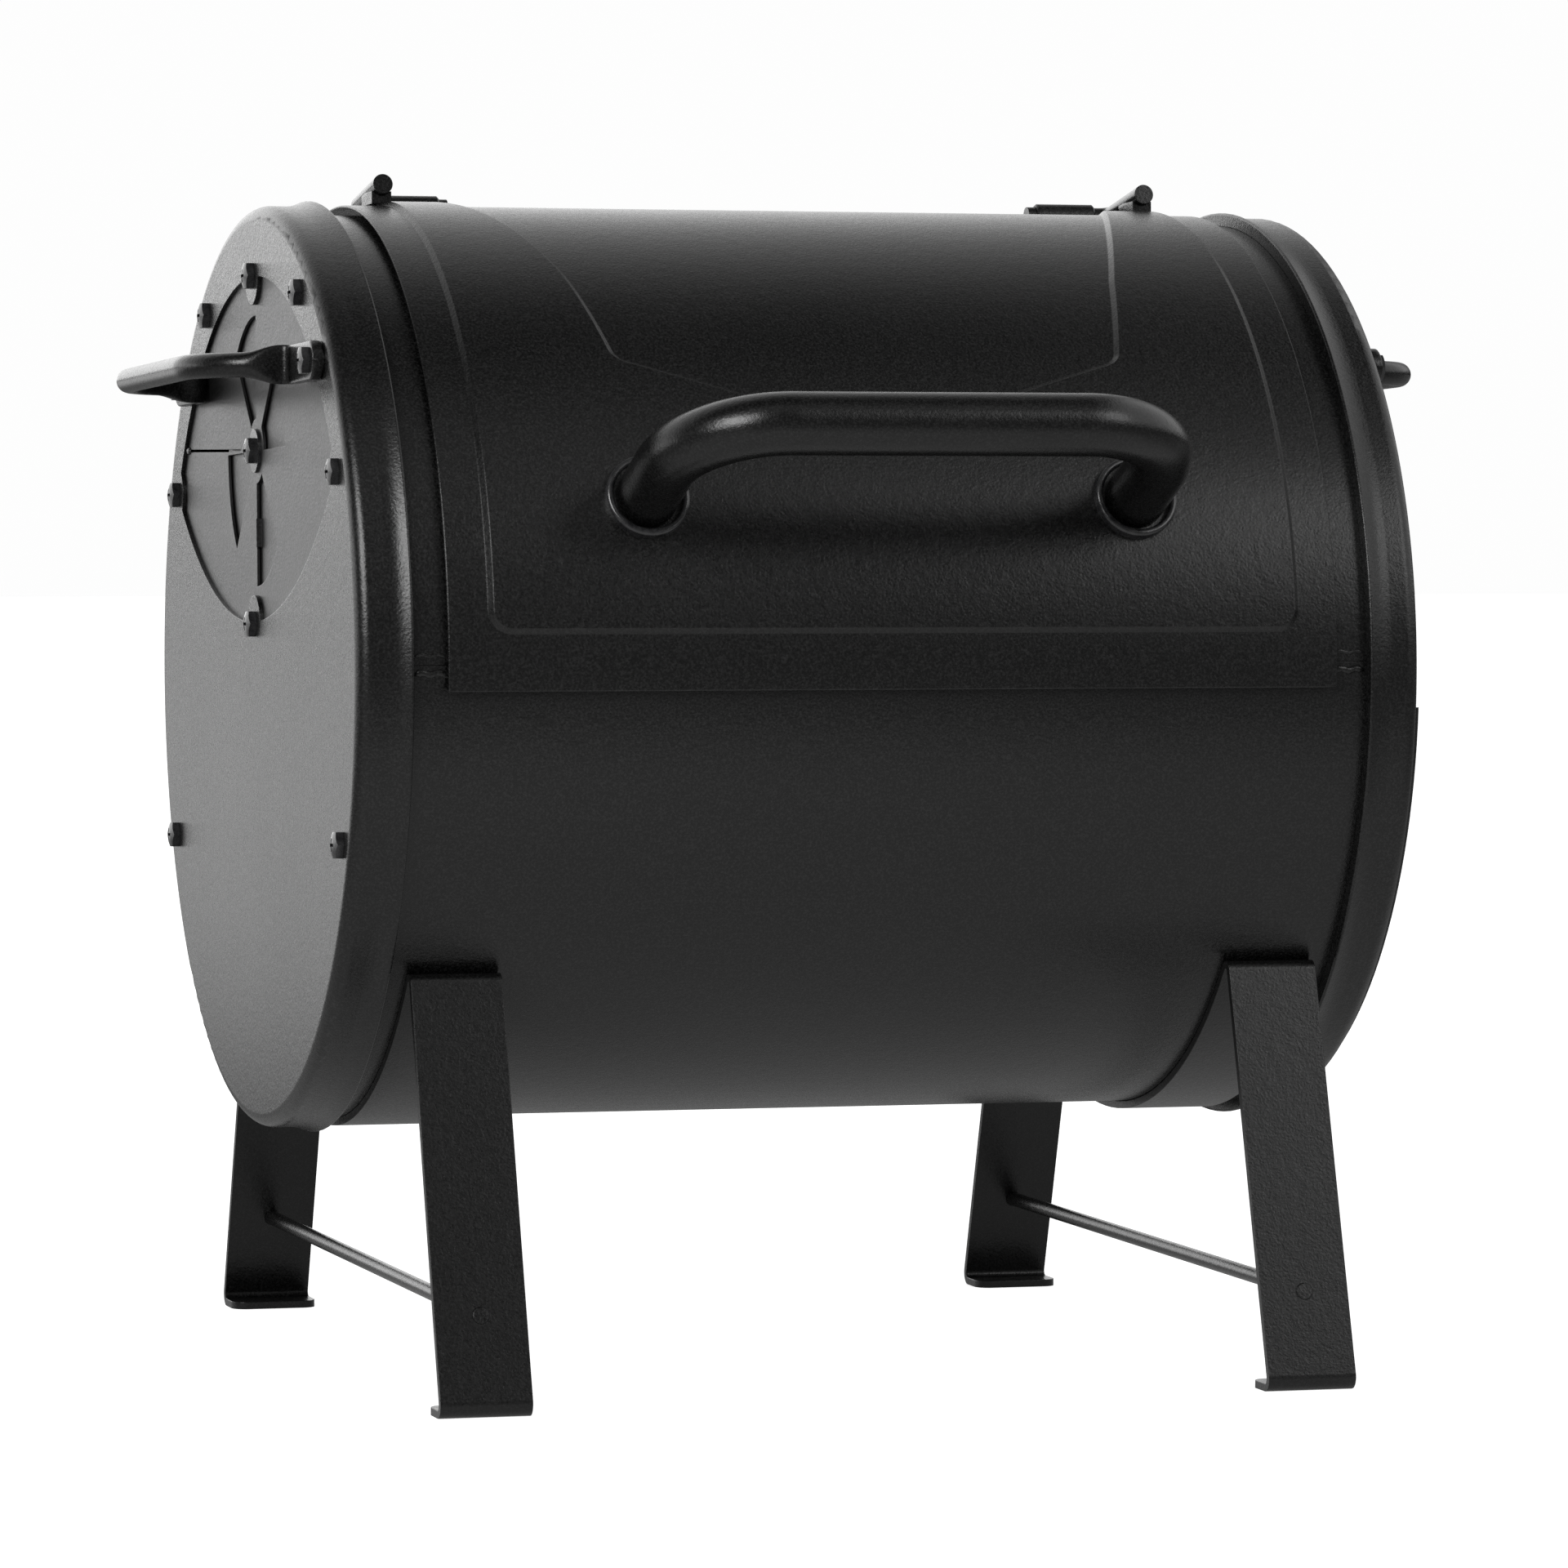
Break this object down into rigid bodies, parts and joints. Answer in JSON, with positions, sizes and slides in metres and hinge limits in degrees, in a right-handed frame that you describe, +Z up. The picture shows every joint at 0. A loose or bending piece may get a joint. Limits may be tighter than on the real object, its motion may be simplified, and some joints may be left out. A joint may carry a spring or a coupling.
{
  "type": "barrel charcoal grill",
  "caption": "Tabletop barrel charcoal grill with a hinged hood, bent strap legs, side handles, an end vent, lift-out grates and a slide-out ash drawer.",
  "frame": {"origin": "centre of the footprint of the whole grill, on the ground under its feet", "axes": "+X along the barrel towards the ash drawer, +Y to the back where the hood hinge is, +Z up"},
  "size_m": [0.5156, 0.4426, 0.4746],
  "materials": {
    "black_powder_coat": "satin black powder coat with a fine grain",
    "black_fasteners": "glossy black coated screws and collars",
    "cast_iron_grates": "seasoned cast iron",
    "plated_wire": "plain steel wire"
  },
  "bodies": {
    "barrel": {"drum_shell": "black_powder_coat", "arch_band_left": "black_powder_coat", "arch_band_right": "black_powder_coat", "end_cap_left": "black_powder_coat", "end_cap_right": "black_powder_coat", "port_cover": "black_powder_coat", "cap_brackets": "black_powder_coat", "side_handle_left": "black_powder_coat", "side_handle_right": "black_powder_coat", "leg_strap_left": "black_powder_coat", "leg_strap_right": "black_powder_coat", "crossbar_left": "black_powder_coat", "crossbar_right": "black_powder_coat", "hinge_knuckle_left": "black_powder_coat", "hinge_knuckle_right": "black_powder_coat", "hinge_bracket_left": "black_powder_coat", "hinge_bracket_right": "black_powder_coat", "grate_ledge_front": "black_powder_coat", "grate_ledge_rear": "black_powder_coat", "drawer_rails": "black_powder_coat", "port_screws": "black_fasteners", "cap_screws": "black_fasteners", "vent_bolt": "black_fasteners", "side_handle_bolts": "black_fasteners"},
    "hood": {"hood_shell": "black_powder_coat", "hood_handle": "black_powder_coat", "handle_collar_left": "black_fasteners", "handle_collar_right": "black_fasteners", "handle_bolts": "black_fasteners", "hinge_rod_left": "black_powder_coat", "hinge_rod_right": "black_powder_coat", "hinge_rod_posts": "black_powder_coat"},
    "vent": {"vent_disc": "black_powder_coat"},
    "drawer": {"ash_tray": "black_powder_coat", "ash_drawer_front": "black_powder_coat", "ash_drawer_handle": "black_powder_coat", "ash_drawer_screws": "black_fasteners", "charcoal_grate_ledges": "black_powder_coat"},
    "coal_grate": {"charcoal_grate": "plated_wire"},
    "grill_left": {"cooking_grate_left": "cast_iron_grates"},
    "grill_right": {"cooking_grate_right": "cast_iron_grates"}
  },
  "joints": [
    {"name": "hood_hinge", "type": "hinge", "parent": "barrel", "child": "hood", "pos_m": [0, 0.06975, 0.46222], "axis": [-1, 0, 0], "range_deg": [0, 110]},
    {"name": "vent_turn", "type": "hinge", "parent": "barrel", "child": "vent", "pos_m": [-0.2092, 0.02845, 0.36394], "axis": [-1, 0, 0], "range_deg": [0, 38]},
    {"name": "drawer_slide", "type": "slide", "parent": "barrel", "child": "drawer", "axis": [1, 0, 0], "range_m": [0, 0.33]},
    {"name": "coal_grate_lift", "type": "slide", "parent": "drawer", "child": "coal_grate", "axis": [0, 0.0384, 0.9993], "range_m": [0, 0.04]},
    {"name": "grill_left_lift", "type": "slide", "parent": "barrel", "child": "grill_left", "axis": [0, 0.0384, 0.9993], "range_m": [0, 0.04]},
    {"name": "grill_right_lift", "type": "slide", "parent": "barrel", "child": "grill_right", "axis": [0, 0.0384, 0.9993], "range_m": [0, 0.04]}
  ]
}
